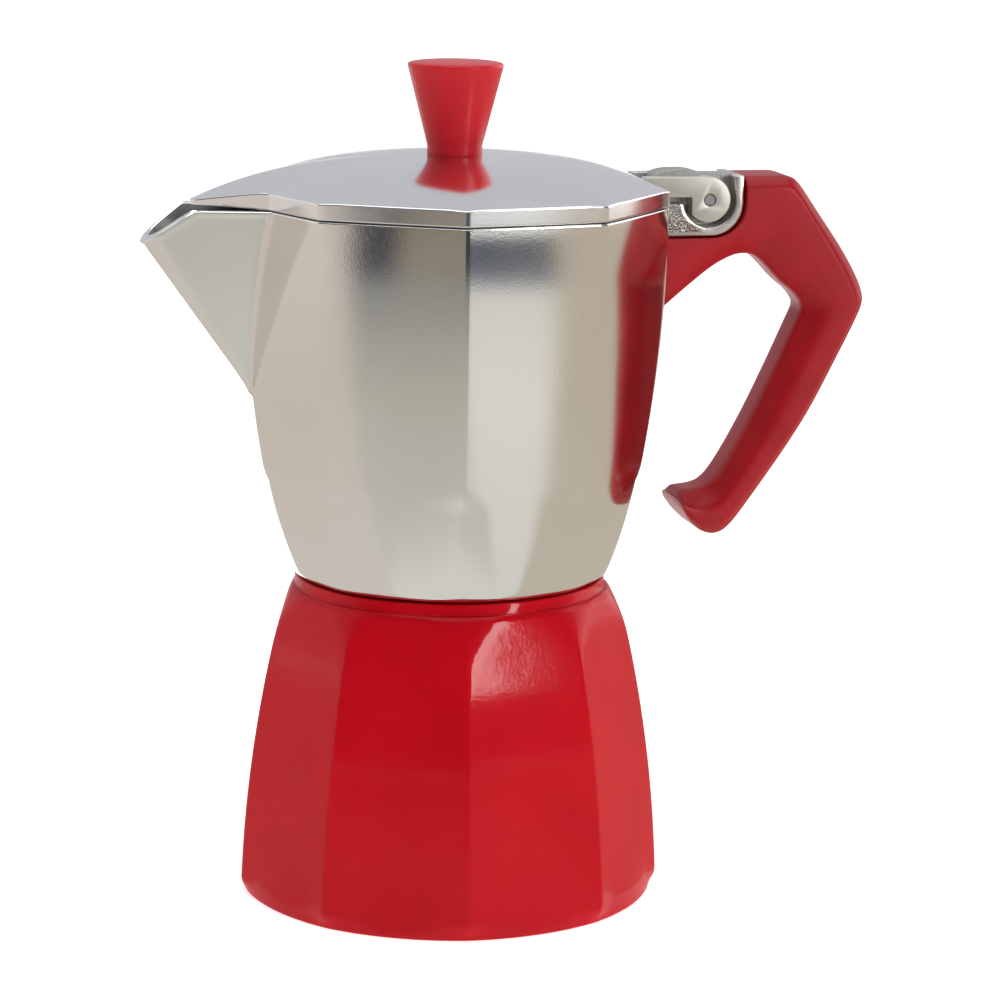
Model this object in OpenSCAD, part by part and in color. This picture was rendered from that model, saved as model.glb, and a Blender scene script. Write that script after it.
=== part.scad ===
// Stovetop moka pot: a nine-sided boiler and jug that screw together, with the
// funnel, filter, seal, safety valve, hinged lid, knob and handle.
// The origin is the centre of the foot, +Z is up, +X points to the handle and -X to the spout.

/* [Boiler] */
// Number of flat sides round the pot (odd, so that the spout's corner faces the handle's flat)
sides = 9; // [7:2:11]
// Corner radius of the boiler's foot
foot_r = 51.8; // [48:0.1:62]
// Height of the boiler's shoulder
shoulder_z = 75.2; // [62:0.1:90]
// Radius of the round shoulder edge
shoulder_r = 38.6; // [38.2:0.1:40]
// Radius of the round base under the boiler's flats
base_r = 50.3; // [46:0.1:60]
// How far the boiler's flanks bow outwards
flank_bow = 2.1; // [0:0.1:3.5]
// Turn of the boiler's flats against the jug's when the pot is screwed tight
boiler_turn = 2.9; // [0:0.1:12]
// Thickness of the boiler's wall
boiler_wall = 3; // [2:0.1:3.5]
// Thickness of the boiler's floor
floor_t = 3.2; // [2:0.1:5]

/* [Thread] */
// Radius of the neck under its thread
neck_r = 34.35; // [33:0.05:34.8]
// Thickness of the neck's wall
neck_wall = 2.6; // [2:0.1:3.5]
// Height of the neck above the collar that the jug closes on
neck_h = 10.1; // [8:0.1:13]
// Thread pitch
pitch = 3; // [2.4:0.1:3.4]
// Height of each thread ridge
ridge_h = 0.75; // [0.6:0.05:0.8]
// Radial room between the neck and the jug's skirt
thread_room = 1.15; // [1.1:0.05:1.3]
// Turns of thread on each part
thread_turns = 2.4; // [1.5:0.1:2.6]

/* [Jug] */
// Corner radius of the jug's rim
rim_r = 51.6; // [48:0.1:62]
// Height of the jug's rim
rim_z = 167.6; // [150:0.1:190]
// Radius of the jug's lower edge
skirt_r = 38.1; // [37.9:0.1:40]
// How far the jug's flanks bow outwards
jug_bow = 2.6; // [0:0.1:3]
// Thickness of the jug's wall
jug_wall = 2.4; // [1.8:0.1:3]
// Thickness of the floor between the jug and the filter
jug_floor = 3; // [2:0.1:5]
// Gap between the boiler's collar and the jug's skirt
seat_gap = 0.6; // [0.3:0.1:1]
// How far the spout's tip stands out from the axis
spout_reach = 75.3; // [70:0.1:84]
// Drop of the spout's tip below the rim
spout_drop = 8; // [4:0.1:12]
// Half width of the spout where it leaves the rim
spout_half_w = 13.3; // [10:0.1:15]
// Height of the spout from its root to the rim
spout_h = 45.4; // [36:0.1:52]

/* [Column] */
// Radius of the hole up the column
column_bore = 3.2; // [2.5:0.1:4]
// Radius of the column at its top
column_top_r = 5; // [4.4:0.1:6]
// Height of the column's top above the jug's floor
column_h = 54; // [40:1:62]

/* [Filter] */
// Thickness of the rubber seal
seal_t = 4.2; // [3:0.1:6]
// Width of the rubber seal's ring
seal_w = 7.4; // [6:0.1:9]
// Thickness of the filter plate
plate_t = 1; // [0.6:0.1:1.4]
// Depth of the coffee basket
basket_h = 26; // [20:0.5:32]
// Thickness of the funnel's sheet
sheet_t = 0.9; // [0.6:0.1:1.2]
// Outer radius of the funnel's tube
tube_r = 4.6; // [4:0.1:6]
// Gap between the funnel's tube and the boiler's floor
tube_gap = 4; // [2:0.5:8]
// Radius of each hole in the sieve and the filter plate
hole_r = 0.7; // [0.5:0.05:0.9]

/* [Lid and hinge] */
// Height of the lid's rim band
band_h = 4; // [3:0.1:5]
// Rise of the lid's dome above its rim band
dome_h = 7.2; // [5:0.1:10]
// Thickness of the lid
lid_t = 1.8; // [1.4:0.1:2.4]
// Reach of the lid's pointed tongue over the spout
tongue_reach = 63.5; // [60:0.1:68]
// Gap between the lid and the jug's rim
lid_gap = 0.3; // [0.2:0.05:0.5]
// Distance of the hinge pin from the jug's wall
pin_out = 12.8; // [12:0.1:16]
// Height of the hinge pin above the rim
pin_up = 0.6; // [0.3:0.1:1.2]
// Radius of the hinge pin
pin_r = 1.25; // [1:0.05:1.6]
// Radius of the lid's ears round the pin
ear_r = 5.2; // [4.6:0.1:5.6]
// Width of the jug's hinge lug
lug_w = 16; // [14:0.5:18]
// Width of the lug's web between the ears
web_w = 7.4; // [6:0.2:8]
// Opening angle at which the ears meet the lug
lid_open = 95; // [85:1:100]

/* [Knob] */
// Radius of the knob's top
knob_r = 11.4; // [9:0.1:14]
// Radius of the knob's foot
knob_foot_r = 6.6; // [5.6:0.1:8]
// Height of the knob
knob_h = 22.6; // [16:0.1:30]

/* [Handle] */
// Width of the handle
handle_w = 19; // [17:0.5:22]
// Reach of the handle's outer corner from the jug's wall
handle_out = 53; // [46:0.1:60]
// Width of the handle's inner face, where the fingers go
handle_inner_w = 9; // [7:0.5:12]
// Gap between the handle and the jug
handle_gap = 0.4; // [0.3:0.05:0.8]
// Radius of the handle screw's shank
screw_r = 1.6; // [1.2:0.1:2]

/* [Safety valve] */
// Height of the valve's axis above the foot
valve_z = 45; // [36:0.5:50]
// Radius of the valve's threaded shank
valve_r = 4; // [3.6:0.1:4.4]
// Distance across the flats of the valve's hexagon
valve_af = 12; // [10:0.5:13]
// How far the valve's plunger can lift
valve_lift = 1.5; // [0.8:0.1:2]

/* [Hidden] */
$fn = 64;
eps = 0.01;
fit = 0.05;
run_fit = 0.07;
big = 2 * rim_z;
half_side = 180 / sides;
flat = cos(half_side);

// Boiler
foot_flat = foot_r * flat;
shoulder_flat = shoulder_r - 0.3;
collar_r = shoulder_r - 1.1;
collar_z = shoulder_z + 2.7;
neck_top = collar_z + neck_h;
neck_bore = neck_r - neck_wall;
shoulder_fade_h = 24;
shoulder_fade_w = 9.2;
base_edge = 0.6;
base_h = 1;
base_slope = 1.6;
cavity_corner = 3;
thread_start = 1.3;

// Jug
skirt_z = collar_z + seat_gap;
rim_flat = rim_r * flat;
skirt_bore = neck_r + thread_room;
flange_t = sheet_t;
seal_z = neck_top + flange_t;
roof_z = seal_z + seal_t;
jug_floor_z = roof_z + jug_floor;
jug_fade_h = 24;
jug_fade_w = 7.2;
spout_root_z = rim_z - spout_h;
spout_nose_r = 8;
spout_lip_x = 64;

// Hinge
pin_x = rim_flat + pin_out;
pin_z = rim_z + pin_up;
lug_top = pin_z + 5.8;
lug_bottom = pin_z - 8.7;
lug_gap = 0.3;
over = lid_open - 90;
stop_x = ear_r * cos(over) + tan(over) * (lug_top - pin_z + ear_r * sin(over)) + lug_gap;
lug_strip = 2.5;
lug_back = pin_x + stop_x + lug_strip;
lug_round = 8;
lug_root = rim_flat - 6;
arm_root = rim_flat - 8;
arm_room = 0.2;
hump_r = 14;
hump_top = lug_top + 1.7;
recess_r = 6.6;
ear_in = web_w / 2 + lug_gap;

// Lid and knob
lid_z = rim_z + lid_gap;
band_z = lid_z + band_h;
dome_z = band_z + dome_h;
lid_flat = rim_flat + 0.1;
knob_seat = 0.2;
knob_z = dome_z - knob_seat;
knob_screw_r = 2;
knob_screw_h = 12;
screw_room = 0.2;
head_z = dome_z - lid_t - 1;
knob_head_r = 3.8;

// Funnel and filter
basket_r = neck_bore - 0.6;
basket_z = seal_z - basket_h;
tube_bottom = floor_t + tube_gap;
sieve_z = basket_z + sheet_t + 1.5;
plate_r = skirt_bore - seal_w + 2;
seal_r = skirt_bore - 0.1;

// Valve
valve_set_in = 2.3;
valve_reach = 9.4;
valve_proud = valve_lift * 2 / 3;
valve_facet = floor(sides / 4);
valve_angle = boiler_turn + valve_facet * 360 / sides;
valve_pad = foot_flat - valve_set_in;
valve_cavity = valve_r - 1.1;
washer_t = 0.8;
hex_t = 3.5;
valve_inner = valve_pad - valve_reach;
valve_tip = valve_pad + washer_t + hex_t + valve_proud;
seat_wall = 0.4;
guide_z = valve_pad + washer_t + 0.6;
retainer_t = 1.2;
head_t = 1.5;
stem_r = 1.2;

// Handle
screw_x = pin_x - 2;
screw_seat = 5.8;
screw_head_z = lug_bottom - screw_seat;
crease = 0.36;

// Points from p to q along a shallow bow of the given height, to the right of p-q
function bowed(p, q, bow, n) =
    let (d = q - p, out = [d[1], -d[0]] / norm(d))
    [for (i = [0 : n]) let (t = i / n) p + d * t + out * bow * 4 * t * (1 - t)];

// Rings joined into one closed tube, with flat ends
module loft(rings) {
    m = len(rings[0]);
    k = len(rings);
    pts = [for (r = rings) each r];
    walls = [for (j = [0 : k - 2], i = [0 : m - 1])
        [j * m + i, j * m + (i + 1) % m, (j + 1) * m + (i + 1) % m, (j + 1) * m + i]];
    tris = [for (w = walls) each [[w[0], w[2], w[1]], [w[0], w[3], w[2]]]];
    ends = [[for (i = [0 : m - 1]) i], [for (i = [m - 1 : -1 : 0]) (k - 1) * m + i]];
    polyhedron(pts, concat(tris, ends), convexity = 6);
}

// Body whose flats all have the side profile [distance from the axis, height]
module flat_sided(profile) {
    low = profile[0][1];
    high = profile[len(profile) - 1][1];
    intersection_for (i = [0 : sides - 1])
        rotate([90, 0, i * 360 / sides])
            linear_extrude(big, center = true)
                polygon(concat([[-big, high], [-big, low]], profile));
}

// Helical thread ridge with run-out ends: base radius, crest radius, lowest point
module ridge(base, crest, z0) {
    per_turn = 36;
    n = round(thread_turns * per_turn);
    run_out = 5;
    bury = base < crest ? -0.3 : 0.3;
    loft([for (i = [0 : n])
        let (a = i * 360 / per_turn, z = z0 + i * pitch / per_turn,
             grow = min(1, (i + 0.5) / run_out, (n - i + 0.5) / run_out),
             tip = base + (crest - base) * grow, side = base < crest ? 1 : -1)
        [for (p = [[base + bury, -0.6], [tip, -0.25], [tip, 0.25], [base + bury, 0.6]])
            [p[0] * cos(a), p[0] * sin(a), z + side * p[1]]]]);
}

// Side view of the jug's flats, moved out by d
function jug_profile(d) = concat(
    [[skirt_r + 0.2 + d, skirt_z]],
    bowed([skirt_r + 0.2 + d, skirt_z + 0.5], [rim_flat - 0.1 + d, rim_z - 0.5], jug_bow, 7),
    [[rim_flat + d, rim_z]]);

// Outer form of the spout, shrunk by w on every side
module spout_form(w) {
    nose_x = spout_reach + spout_drop / 1.39;
    hull() {
        translate([-nose_x + spout_nose_r, 0, rim_z - eps])
            cylinder(r = spout_nose_r - w, h = eps, $fn = 32);
        translate([-rim_flat + 4, -spout_half_w - 1 + w, rim_z - eps])
            cube([1, 2 * (spout_half_w + 1 - w), eps]);
        translate([-rim_flat + 4 + w, 0, spout_root_z + w])
            cylinder(r = 1, h = 1, $fn = 16);
        translate([-skirt_r - 10.4 + w, 0, spout_root_z + w])
            sphere(r = 0.6, $fn = 16);
    }
}

// Everything above the spout's sloping lip
module above_lip(d) {
    slope = atan2(spout_drop, spout_reach - spout_lip_x);
    translate([-spout_lip_x, 0, rim_z + d])
        rotate([0, -slope, 0])
            translate([-60, -30, 0])
                cube([60, 60, 40]);
    translate([-big, -big, rim_z + d])
        cube([2 * big, 2 * big, 60]);
}

// Hinge lug: a block with a rounded lower corner, on the jug's handle side
module lug_block(d, w) {
    r = lug_round + d;
    translate([0, w / 2, 0])
        rotate([90, 0, 0])
            linear_extrude(w) {
                translate([lug_back + d - r, lug_bottom - d + r])
                    circle(r);
                translate([lug_root, lug_bottom - d])
                    square([lug_back + d - r - lug_root, 30]);
                translate([lug_root, lug_bottom - d + r])
                    square([lug_back + d - lug_root, 30]);
            }
}

// Cylinder along Y about the hinge pin
module about_pin(r, w) {
    translate([pin_x, w / 2, pin_z])
        rotate([90, 0, 0])
            cylinder(r = r, h = w);
}

module boiler() color("crimson") {
    difference() {
        union() {
            intersection() {
                rotate(boiler_turn)
                    flat_sided(concat([[foot_flat, 0]],
                        bowed([foot_flat, base_h], [shoulder_flat, shoulder_z], flank_bow, 7)));
                rotate_extrude()
                    polygon(concat([[0, 0], [base_r - base_edge, 0], [base_r, base_edge],
                            [foot_r + 1, base_edge + 1.5]],
                        bowed([shoulder_r + shoulder_fade_w, shoulder_z - shoulder_fade_h],
                            [shoulder_r, shoulder_z], 1, 6),
                        [[0, shoulder_z]]));
            }
            rotate_extrude()
                polygon([[0, 0], [base_r - base_edge, 0], [base_r, base_edge], [base_r, base_h],
                    [foot_flat - 0.3, base_h + base_slope], [0, base_h + base_slope]]);
            cylinder(r = collar_r, h = collar_z);
            cylinder(r = neck_r, h = neck_top);
            ridge(neck_r, neck_r + ridge_h, collar_z + thread_start);
            on_valve(valve_inner + 2)
                cylinder(r = valve_af / 2 + 2, h = valve_pad - valve_inner - 2);
        }
        rotate_extrude()
            polygon(concat([[0, floor_t], [foot_flat - boiler_wall - cavity_corner, floor_t]],
                bowed([foot_flat - boiler_wall, floor_t + cavity_corner],
                    [shoulder_flat - boiler_wall, shoulder_z - 4], flank_bow, 7),
                [[neck_bore, collar_z], [neck_bore, neck_top + 1], [0, neck_top + 1]]));
        on_valve(valve_inner - 2)
            cylinder(r = valve_r + fit, h = big);
    }
}

// Places a piece drawn upwards from z = 0 on the valve's axis, at distance x from the pot's axis
module on_valve(x) {
    rotate(valve_angle)
        translate([x, 0, valve_z])
            rotate([0, 90, 0])
                children();
}

module valve_body() color("goldenrod") {
    on_valve(0)
        difference() {
            union() {
                translate([0, 0, valve_inner])
                    cylinder(r = valve_r, h = valve_pad + washer_t + 1 - valve_inner);
                translate([0, 0, valve_pad + washer_t])
                    cylinder(r = valve_af / sqrt(3), h = hex_t, $fn = 6);
            }
            translate([0, 0, valve_inner - 1])
                cylinder(r = valve_cavity + seat_wall, h = 1 + retainer_t);
            translate([0, 0, valve_inner - 1])
                cylinder(r = valve_cavity, h = guide_z - valve_inner + 1);
            cylinder(r = stem_r + run_fit, h = big);
        }
}

module valve_washer() color("peru") {
    on_valve(valve_pad)
        difference() {
            cylinder(r = valve_af / 2, h = washer_t);
            translate([0, 0, -1])
                cylinder(r = valve_r + fit, h = washer_t + 2);
        }
}

module valve_retainer() color("silver") {
    on_valve(valve_inner)
        difference() {
            cylinder(r = valve_cavity + seat_wall - fit, h = retainer_t);
            translate([0, 0, -1])
                cylinder(r = 1.7, h = retainer_t + 2);
        }
}

module valve_plunger() color("gold") {
    on_valve(valve_inner + retainer_t)
        rotate_extrude() {
            stem_h = valve_tip - valve_inner - retainer_t;
            head_r = valve_cavity - 0.3;
            polygon([[0, -0.6], [1, -0.6], [1.4, 0.1], [head_r, 0.1], [head_r, head_t],
                [stem_r, head_t], [stem_r, stem_h - 0.4], [stem_r - 0.4, stem_h], [0, stem_h]]);
        }
}

module valve_spring() color("lightsteelblue") {
    coil_r = (stem_r + valve_cavity) / 2;
    wire = 0.3;
    end_gap = 0.15;
    low = retainer_t + head_t + wire + end_gap;
    high = guide_z - valve_inner - wire - end_gap;
    turns = 6;
    n = turns * 16;
    on_valve(valve_inner)
        loft([for (i = [0 : n])
            let (a = i * 360 / 16, z = low + (high - low) * i / n)
            [for (k = [5 : -1 : 0])
                let (r = coil_r + wire * cos(k * 60))
                [r * cos(a), r * sin(a), z + wire * sin(k * 60)]]]);
}

module funnel_basket() color("silver") {
    rotate_extrude()
        polygon([[tube_r + fit, basket_z], [basket_r - 3.5, basket_z], [basket_r - 1.2, basket_z + 2.4],
            [basket_r, seal_z - flange_t - 0.8], [basket_r + 0.4, seal_z - flange_t],
            [neck_r - 0.2, seal_z - flange_t], [neck_r - 0.2, seal_z],
            [basket_r - sheet_t, seal_z], [basket_r - 1.2 - sheet_t, basket_z + 2.6],
            [basket_r - 3.9, basket_z + sheet_t], [tube_r + fit, basket_z + sheet_t]]);
}

module funnel_tube() color("gainsboro") {
    rotate_extrude()
        polygon([[tube_r - sheet_t - 0.6, tube_bottom], [tube_r - 0.6, tube_bottom],
            [tube_r, basket_z - 6], [tube_r, basket_z - 0.9], [tube_r + 1.6, basket_z - 0.9],
            [tube_r + 1.6, basket_z - eps], [tube_r, basket_z - eps],
            [tube_r, basket_z + sheet_t + 0.5], [tube_r - sheet_t, basket_z + sheet_t + 0.5],
            [tube_r - sheet_t, basket_z - 6]]);
}

// Rings of small holes through a disc, from radius r0 to r1
module hole_rings(r0, r1, n_rings) {
    for (j = [0 : n_rings - 1]) {
        r = r0 + (r1 - r0) * j / (n_rings - 1);
        n = round(2 * PI * r / 6);
        for (i = [0 : n - 1])
            rotate(360 * i / n + 7 * j)
                translate([r, 0, 0])
                    cylinder(r = hole_r, h = 20, center = true);
    }
}

module funnel_sieve() color("lightgray") {
    translate([0, 0, sieve_z])
        difference() {
            cylinder(r = basket_r - sheet_t - 1.6, h = 0.8);
            hole_rings(3, basket_r - sheet_t - 5, 5);
        }
}

module filter_plate() color("lightgray") {
    translate([0, 0, roof_z - plate_t - 0.1])
        difference() {
            cylinder(r = plate_r - fit, h = plate_t);
            hole_rings(3, plate_r - 5, 5);
        }
}

module gasket() color("whitesmoke") {
    rotate_extrude()
        polygon([[skirt_bore - seal_w, seal_z + 0.1], [seal_r - 0.3, seal_z + 0.1], [seal_r, seal_z + 0.4],
            [seal_r, roof_z - 0.4], [seal_r - 0.3, roof_z - 0.1], [plate_r, roof_z - 0.1],
            [plate_r, roof_z - 0.1 - plate_t - fit], [skirt_bore - seal_w, roof_z - 0.1 - plate_t - fit]]);
}

module jug_outside() {
    intersection() {
        flat_sided(jug_profile(0));
        rotate_extrude()
            polygon(concat([[0, skirt_z]],
                bowed([skirt_r, skirt_z], [skirt_r + jug_fade_w, skirt_z + jug_fade_h], 0.6, 5),
                [[rim_r + 2, skirt_z + jug_fade_h + 8], [rim_r + 2, rim_z], [0, rim_z]]));
    }
    spout_form(0);
}

module jug_inside() {
    intersection() {
        flat_sided(concat([[skirt_r, jug_floor_z]], jug_profile(-jug_wall),
            [[rim_flat - jug_wall, rim_z + 5]]));
        rotate_extrude()
            polygon([[0, jug_floor_z], [skirt_r - jug_wall - 4, jug_floor_z],
                [skirt_r - jug_wall + 2, jug_floor_z + 6], [skirt_r + 5.4, jug_floor_z + 16],
                [rim_r, jug_floor_z + 40], [rim_r, rim_z + 5], [0, rim_z + 5]]);
    }
    difference() {
        spout_form(jug_wall);
        translate([0, 0, spout_root_z - 1])
            cylinder(r = 20, h = 80);
    }
}

module collector() color("silver") {
    boss_r = column_top_r + 3.4;
    difference() {
        union() {
            jug_outside();
            intersection() {
                lug_block(0, lug_w);
                translate([0, -50, 0])
                    cube([big, 100, lug_top]);
            }
            intersection() {
                lug_block(0, web_w);
                translate([0, -50, 0])
                    cube([lug_back - 6, 100, hump_top]);
                about_pin(hump_r, 40);
            }
        }
        difference() {
            jug_inside();
            cylinder(r = boss_r, h = jug_floor_z + 5);
            cylinder(r = big, h = jug_floor_z);
        }
        above_lip(0);
        // Milled seats for the lid's ears, open at the top for the arms
        for (s = [-1, 1])
            translate([0, s * (web_w / 2 + 10), 0]) {
                about_pin(recess_r, 20);
                translate([arm_root, -10, pin_z - arm_room])
                    cube([pin_x + stop_x - arm_root, 20, 30]);
            }
        // Threaded skirt, seal seat and the hollow under the floor
        translate([0, 0, skirt_z - 1])
            cylinder(r = skirt_bore, h = roof_z - skirt_z + 1);
        rotate_extrude()
            polygon([[0, roof_z - eps], [plate_r - 3, roof_z - eps], [plate_r - 5, roof_z + 1],
                [0, roof_z + 1.6]]);
        cylinder(r = column_top_r + 1 + fit, h = big);
        about_pin(pin_r + fit / 2, 60);
        translate([screw_x, 0, lug_bottom - 5])
            cylinder(r = screw_r + fit, h = 5 + 5.6);
    }
    ridge(skirt_bore, skirt_bore - ridge_h, collar_z + thread_start + pitch / 2);
}

module column() color("gainsboro") {
    seat_r = column_top_r + 1;
    top = jug_floor_z + column_h;
    difference() {
        rotate_extrude()
            polygon([[0, roof_z + 1.8], [seat_r, roof_z + 1.8], [seat_r, jug_floor_z + 5],
                [seat_r + 1, jug_floor_z + 5.1], [seat_r + 1, jug_floor_z + 6.5],
                [column_top_r, top - 2], [column_top_r - 1.5, top], [0, top]]);
        translate([0, 0, roof_z])
            cylinder(r = column_bore, h = top - 4 - roof_z);
        // Two windows just under the closed top
        translate([0, 0, top - 6])
            rotate([90, 0, 0])
                cylinder(r = 1.6, h = 30, center = true);
    }
}

module hinge_pin() color("lightgray") {
    about_pin(pin_r, lug_w - 0.4);
}

// Side view of the handle: [outer point, inner point] pairs from the jug to the hook's tip,
// measured from the jug's wall and the rim
handle_rail = [
    [[-2, 6.2], [-2, -29.8]], [[13, 6.2], [13.2, -17]], [[21, 6.2], [18.3, -14]],
    [[28, 6.2], [22, -12.8]], [[33.4, 6.2], [25.5, -13.3]], [[35.8, 4.2], [28.5, -16.1]],
    [[40.2, -2.2], [32, -20]], [[47.6, -12.5], [35.5, -22.6]], [[52, -20.5], [37.4, -25]],
    [[53, -24.5], [37.8, -26.8]], [[51.4, -28.8], [36.6, -29.4]], [[46, -39.6], [31.6, -40.6]],
    [[40, -51.4], [26.2, -52]], [[33.6, -61.4], [21.6, -60.6]], [[25.6, -72.6], [17.8, -66.8]],
    [[20.4, -79.6], [15.2, -69.6]], [[17, -81.8], [12.2, -70.6]], [[13, -81], [9, -70.8]],
    [[9.6, -77.9], [7.8, -71.2]], [[8, -75.4], [7.2, -72.6]]
];

module handle() color("firebrick") {
    stretch = handle_out / max([for (s = handle_rail) s[0][0]]);
    edge = 2.4;
    difference() {
        loft([for (s = handle_rail)
            let (o = s[0], i = s[1], d = (i - o) / norm(i - o), t = norm(i - o),
                 e = min(edge, t * 0.3), w = handle_w / 2, wi = handle_inner_w / 2)
            [for (p = [[o, -w + e], [o + d * e, -w], [o + d * t * (1 - crease), -w], [i, -wi],
                       [i, wi], [o + d * t * (1 - crease), w], [o + d * e, w], [o, w - e]])
                [rim_flat + p[0][0] * stretch, p[1], rim_z + p[0][1]]]]);
        lug_block(handle_gap, big);
        rotate([90, 0, 0])
            linear_extrude(big, center = true)
                polygon(concat([[0, rim_z + 30], [0, skirt_z]], jug_profile(handle_gap),
                    [[rim_flat + handle_gap, rim_z + 30]]));
        translate([screw_x, 0, screw_head_z])
            cylinder(r = screw_r + 0.15, h = 20);
        translate([screw_x, 0, screw_head_z - 20])
            cylinder(r = 2 * screw_r + 0.3, h = 20);
    }
}

module handle_screw() color("lightgray") {
    translate([screw_x, 0, 0])
        difference() {
            union() {
                translate([0, 0, screw_head_z - 2.2])
                    cylinder(r = 2 * screw_r, h = 2.2);
                translate([0, 0, screw_head_z - 0.1])
                    cylinder(r = screw_r, h = lug_bottom + 5.2 - screw_head_z);
            }
            translate([0, 0, screw_head_z - 2.3])
                for (a = [0, 90])
                    rotate(a)
                        cube([3.4, 0.7, 2.4], center = true);
        }
}

// Dome over the lid, d lower than the outside
function dome(d) = [for (i = [0 : 8]) let (u = 1 - i / 8)
    [(lid_flat - d) * u, dome_z - d - dome_h * pow(u, 3)]];

module tongue(d) {
    hull() {
        translate([-lid_flat + 6, -spout_half_w - 2 + d, lid_z - (d > 0 ? 1 : 0)])
            cube([1, 2 * (spout_half_w + 2 - d), band_h - d + (d > 0 ? 1 : 0)]);
        translate([-tongue_reach + 3, 0, lid_z - (d > 0 ? 1 : 0)])
            cylinder(r = 3 - d * 0.8, h = 1.4 - d * 0.6 + (d > 0 ? 1 : 0), $fn = 32);
        translate([-tongue_reach + 7.5, 0, band_z - 0.2 - d])
            sphere(r = 0.6, $fn = 16);
        translate([-lid_flat - 1, 0, band_z + 1.2 - d])
            sphere(r = 0.6, $fn = 16);
        translate([-lid_flat + 6, 0, band_z + 1.9 - d])
            sphere(r = 0.6, $fn = 16);
    }
}

module lid() color("silver") {
    difference() {
        union() {
            intersection() {
                flat_sided(concat([[lid_flat, lid_z]], dome(0)));
                rotate_extrude()
                    polygon(concat([[0, lid_z], [rim_r + 1, lid_z], [rim_r + 1, band_z + 0.4]], dome(-0.15)));
            }
            tongue(0);
            for (s = [-1, 1])
                translate([0, s * (ear_in + lug_w / 2) / 2, 0]) {
                    about_pin(ear_r, lug_w / 2 - ear_in);
                    translate([lug_root, -(lug_w / 2 - ear_in) / 2, pin_z + 2 * arm_room])
                        cube([pin_x - lug_root, lug_w / 2 - ear_in, ear_r - 2 * arm_room]);
                }
        }
        difference() {
            union() {
                flat_sided(concat([[lid_flat - lid_t - 0.6, lid_z - 1]],
                    [[lid_flat - lid_t - 0.6, lid_z + 0.5]], dome(lid_t)));
                tongue(lid_t);
            }
            translate([lug_root, -lug_w / 2, lid_z - 2])
                cube([20, lug_w, 30]);
        }
        // Slot round the jug's web, concentric with the pin
        intersection() {
            about_pin(hump_r + 0.4, 2 * ear_in);
            translate([arm_root, -20, 0])
                cube([60, 40, big]);
        }
        about_pin(pin_r + run_fit, 60);
        cylinder(r = knob_screw_r + screw_room, h = big);
        translate([0, 0, knob_z])
            cylinder(r = knob_foot_r + screw_room, h = big);
    }
}

module knob() color("firebrick") {
    difference() {
        translate([0, 0, knob_z])
            rotate_extrude()
                polygon([[0, 0], [knob_foot_r, 0], [knob_foot_r, 1.9], [knob_foot_r - 0.1, 2.4],
                    [knob_r - 0.1, knob_h - 1.3], [knob_r, knob_h - 1],
                    [knob_r - 0.3, knob_h - 0.6], [knob_r * 0.6, knob_h - 0.15], [0, knob_h]]);
        translate([0, 0, knob_z - 1])
            cylinder(r = knob_screw_r + fit, h = knob_screw_h - 1);
    }
}

module knob_washer() color("silver") {
    translate([0, 0, head_z])
        difference() {
            cylinder(r = 6, h = 0.9);
            translate([0, 0, -1])
                cylinder(r = knob_screw_r + screw_room, h = 4);
        }
}

module knob_screw() color("silver") {
    translate([0, 0, head_z])
        difference() {
            union() {
                rotate_extrude()
                    polygon([[0, -2.2], [2.6, -2], [knob_head_r, -0.9], [knob_head_r, -eps], [0, -eps]]);
                translate([0, 0, -0.1])
                    cylinder(r = knob_screw_r, h = knob_screw_h);
            }
            translate([0, 0, -2.2])
                for (a = [0, 90])
                    rotate(a)
                        cube([3.6, 0.8, 2], center = true);
        }
}

boiler();
valve_body();
valve_washer();
valve_retainer();
valve_spring();
valve_plunger();
funnel_basket();
funnel_tube();
funnel_sieve();
gasket();
filter_plate();
collector();
column();
handle();
handle_screw();
hinge_pin();
lid();
knob();
knob_washer();
knob_screw();
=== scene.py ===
import bpy
import bmesh
import math
import numpy as np
from mathutils import Matrix, Vector


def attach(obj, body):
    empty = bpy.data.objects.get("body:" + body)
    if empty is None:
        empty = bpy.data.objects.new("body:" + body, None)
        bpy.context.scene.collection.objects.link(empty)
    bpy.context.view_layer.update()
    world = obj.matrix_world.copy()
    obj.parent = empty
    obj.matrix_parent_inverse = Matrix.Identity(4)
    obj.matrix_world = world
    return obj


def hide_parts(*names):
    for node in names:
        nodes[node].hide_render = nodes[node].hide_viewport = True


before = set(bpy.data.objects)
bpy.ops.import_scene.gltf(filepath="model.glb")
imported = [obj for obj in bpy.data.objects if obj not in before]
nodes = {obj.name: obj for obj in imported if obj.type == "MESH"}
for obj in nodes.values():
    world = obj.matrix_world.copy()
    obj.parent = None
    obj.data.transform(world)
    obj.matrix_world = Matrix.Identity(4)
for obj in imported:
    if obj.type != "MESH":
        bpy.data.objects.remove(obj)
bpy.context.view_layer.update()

# ---------------------------------------------------------------- sizes, in mm, in the row frame
MM = 0.001
SIDES = 9
HALF = math.pi / SIDES
FLAT = math.cos(HALF)
CORNER_POWER = 320          # sharpness of the flats' meeting edges

# Boiler: foot, the round base its flats fade into, shoulder, collar, neck and wall
foot_flat, base_r, base_blend, corner_blend = 51.8 * FLAT, 50.0, 16.0, 4.0
shoulder_z, shoulder_r, boiler_turn, flank_bow = 75.2, 38.6, math.radians(2.9), 2.1
collar_r, collar_z, neck_r, neck_top, neck_bore = 37.5, 77.9, 34.35, 88.0, 31.75
boiler_wall, floor_t = 3.0, 3.2
boiler_fade_z, boiler_fade_r = 51.2, 47.8       # above this its flats fade into a round

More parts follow.
